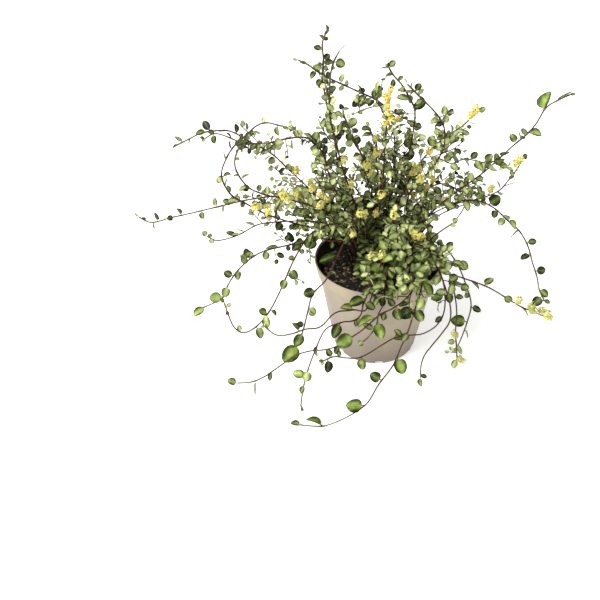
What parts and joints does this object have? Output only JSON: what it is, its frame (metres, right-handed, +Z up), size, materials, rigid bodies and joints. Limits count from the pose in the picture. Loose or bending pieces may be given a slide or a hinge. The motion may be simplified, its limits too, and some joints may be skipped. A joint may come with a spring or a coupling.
{
  "type": "potted wire vine",
  "caption": "Trailing wire vine with small round leaves and flower spikes on thin wiry stems, in a round tapered plastic nursery pot with soil.",
  "frame": {"origin": "centre of the pot's flat base", "axes": "+Z up, and -Y towards the picture's viewer, with the tallest runner at -X and the longest ones to both sides along X"},
  "size_m": [0.3509, 0.2445, 0.2682],
  "materials": {
    "pot": "matt moulded taupe",
    "soil": "damp, crumbly",
    "leafy_stem": "glossy leaves on matt brown stems"
  },
  "bodies": {
    "root": {"across_front": "leafy_stem", "back_curl": "leafy_stem", "back_floor": "leafy_stem", "back_hanging": "leafy_stem", "back_left": "leafy_stem", "back_middle": "leafy_stem", "back_right": "leafy_stem", "centre_left": "leafy_stem", "centre_upright": "leafy_stem", "front_left": "leafy_stem", "front_low": "leafy_stem", "front_short": "leafy_stem", "front_to_floor": "leafy_stem", "high_tendril": "leafy_stem", "inner_loop": "leafy_stem", "left_drop": "leafy_stem", "left_far": "leafy_stem", "left_high": "leafy_stem", "left_hook": "leafy_stem", "left_leaves": "leafy_stem", "left_loop": "leafy_stem", "left_upper": "leafy_stem", "left_yellow": "leafy_stem", "low_left": "leafy_stem", "pot": "pot", "right_arch": "leafy_stem", "right_bushy": "leafy_stem", "right_pink": "leafy_stem", "right_reach": "leafy_stem", "right_short": "leafy_stem", "right_tail": "leafy_stem", "right_tail_yellow": "leafy_stem", "right_yellow": "leafy_stem", "shoot_01": "leafy_stem", "shoot_02": "leafy_stem", "shoot_03": "leafy_stem", "shoot_04": "leafy_stem", "shoot_05": "leafy_stem", "shoot_06": "leafy_stem", "shoot_07": "leafy_stem", "shoot_08": "leafy_stem", "shoot_09": "leafy_stem", "shoot_10": "leafy_stem", "shoot_11": "leafy_stem", "shoot_12": "leafy_stem", "shoot_13": "leafy_stem", "shoot_14": "leafy_stem", "shoot_15": "leafy_stem", "shoot_16": "leafy_stem", "shoot_17": "leafy_stem", "shoot_18": "leafy_stem", "shoot_19": "leafy_stem", "shoot_20": "leafy_stem", "soil": "soil", "tall_left": "leafy_stem", "tall_second": "leafy_stem", "top_left_arch": "leafy_stem", "top_right_arch": "leafy_stem", "upper_middle": "leafy_stem"}
  },
  "joints": []
}
